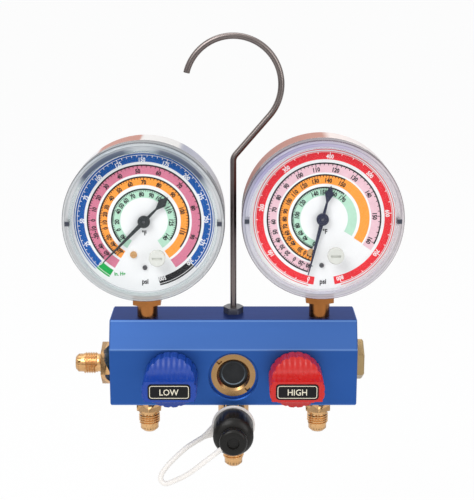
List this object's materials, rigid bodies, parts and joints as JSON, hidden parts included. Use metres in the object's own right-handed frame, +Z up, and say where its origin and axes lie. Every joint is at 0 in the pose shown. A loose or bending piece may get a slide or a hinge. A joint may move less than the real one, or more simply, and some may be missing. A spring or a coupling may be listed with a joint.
{
  "type": "refrigerant manifold gauge set",
  "caption": "Refrigerant manifold with low and high pressure gauges, hand valves, sight glass, flare ports, tethered port cap and hanging hook.",
  "frame": {"origin": "inside top of the hanging hook, the point the set hangs from", "axes": "+X to the right along the block, +Y away from the front, +Z up"},
  "size_m": [0.1696, 0.0527, 0.2293],
  "materials": {
    "blue_aluminium": "anodised",
    "brass": "machined",
    "copper_brass": "machined",
    "steel": "drawn",
    "black_plastic": "moulded",
    "strap_plastic": "moulded",
    "blue_plastic": "moulded",
    "red_plastic": "moulded",
    "case_low": "moulded",
    "case_high": "moulded",
    "clear_plastic": "clear",
    "dial_white": "printed",
    "rubber": "matt",
    "sight": "clear",
    "pointer_black": "satin"
  },
  "bodies": {
    "manifold": {"manifold_block": "blue_aluminium", "hanging_hook": "steel", "hook_nut": "steel", "low_port_fitting": "brass", "high_port_fitting": "brass", "side_port_fitting": "brass", "end_plug": "brass", "centre_tee": "brass", "cap_tether": "strap_plastic", "sight_glass_ring": "brass", "sight_glass": "sight", "sight_glass_seal": "rubber", "stem_seals": "rubber", "dial_screws": "steel", "calibration_screws": "brass", "movement_screws": "steel", "case_screws": "steel", "movement_pillars": "brass", "low_valve_bonnet": "brass", "low_gauge_socket": "copper_brass", "low_gauge_case": "case_low", "low_relief_plug": "rubber", "low_gauge_lens": "clear_plastic", "low_lens_plug": "clear_plastic", "low_gauge_dial": "dial_white", "low_movement_front_plate": "brass", "low_movement_back_plate": "brass", "low_bourdon_tube": "brass", "high_valve_bonnet": "brass", "high_gauge_socket": "copper_brass", "high_gauge_case": "case_high", "high_relief_plug": "rubber", "high_gauge_lens": "clear_plastic", "high_lens_plug": "clear_plastic", "high_gauge_dial": "dial_white", "high_movement_front_plate": "brass", "high_movement_back_plate": "brass", "high_bourdon_tube": "brass"},
    "low_knob": {"low_valve_knob": "blue_plastic", "low_label_plate": "black_plastic", "low_valve_stem": "brass", "low_knob_screw": "steel"},
    "low_piston": {"low_valve_piston": "brass", "low_piston_seal": "rubber"},
    "low_pointer": {"low_gauge_pointer": "pointer_black", "low_pinion_arbor": "brass"},
    "low_sector": {"low_sector_gear": "brass"},
    "low_link": {"low_link": "brass"},
    "high_knob": {"high_valve_knob": "red_plastic", "high_label_plate": "black_plastic", "high_valve_stem": "brass", "high_knob_screw": "steel"},
    "high_piston": {"high_valve_piston": "brass", "high_piston_seal": "rubber"},
    "high_pointer": {"high_gauge_pointer": "pointer_black", "high_pinion_arbor": "brass"},
    "high_sector": {"high_sector_gear": "brass"},
    "high_link": {"high_link": "brass"},
    "cap": {"port_cap": "black_plastic", "cap_gasket": "rubber"}
  },
  "joints": [
    {"name": "low_knob_turn", "type": "hinge", "parent": "manifold", "child": "low_knob", "pos_m": [-0.03175, -0.0315, -0.1694], "axis": [0, 1, 0], "range_deg": [-720, 0]},
    {"name": "low_piston_slide", "type": "slide", "parent": "manifold", "child": "low_piston", "axis": [0, 1, 0], "range_m": [-0.003, 0]},
    {"name": "low_sector_turn", "type": "hinge", "parent": "manifold", "child": "low_sector", "pos_m": [-0.04445, -0.0106, -0.1064], "axis": [0, 1, 0], "range_deg": [-33.56, 1.33], "stiffness_Nm_per_rad": 0.002, "deforming": ["low_bourdon_tube"]},
    {"name": "low_pointer_turn", "type": "hinge", "parent": "manifold", "child": "low_pointer", "pos_m": [-0.04445, -0.0166, -0.0884], "axis": [0, 1, 0], "range_deg": [-12.01, 302.01]},
    {"name": "low_link_turn", "type": "hinge", "parent": "low_sector", "child": "low_link", "pos_m": [-0.03881, -0.0091, -0.10845], "axis": [0, 1, 0], "range_deg": [-1.34, 33.57]},
    {"name": "high_knob_turn", "type": "hinge", "parent": "manifold", "child": "high_knob", "pos_m": [0.03175, -0.0315, -0.1694], "axis": [0, 1, 0], "range_deg": [-720, 0]},
    {"name": "high_piston_slide", "type": "slide", "parent": "manifold", "child": "high_piston", "axis": [0, 1, 0], "range_m": [-0.003, 0]},
    {"name": "high_sector_turn", "type": "hinge", "parent": "manifold", "child": "high_sector", "pos_m": [0.04445, -0.0106, -0.1052], "axis": [0, 1, 0], "range_deg": [-36.78, 0], "stiffness_Nm_per_rad": 0.002, "deforming": ["high_bourdon_tube"]},
    {"name": "high_pointer_turn", "type": "hinge", "parent": "manifold", "child": "high_pointer", "pos_m": [0.04445, -0.0166, -0.0872], "axis": [0, 1, 0], "range_deg": [-0.01, 331.01]},
    {"name": "high_link_turn", "type": "hinge", "parent": "high_sector", "child": "high_link", "pos_m": [0.05009, -0.0091, -0.10725], "axis": [0, 1, 0], "range_deg": [-0.01, 36.79]},
    {"name": "cap_pull", "type": "slide", "parent": "manifold", "child": "cap", "axis": [0, -1, 0], "range_m": [0, 0.014], "deforming": ["cap_tether"]}
  ],
  "couplings": [
    {"joint": "low_piston_slide", "follows": "low_knob_turn", "m_per_rad": 0.00023873},
    {"joint": "low_pointer_turn", "follows": "low_sector_turn", "ratio": -9},
    {"joint": "low_link_turn", "follows": "low_sector_turn", "ratio": -1},
    {"joint": "high_piston_slide", "follows": "high_knob_turn", "m_per_rad": 0.00023873},
    {"joint": "high_pointer_turn", "follows": "high_sector_turn", "ratio": -9},
    {"joint": "high_link_turn", "follows": "high_sector_turn", "ratio": -1}
  ]
}
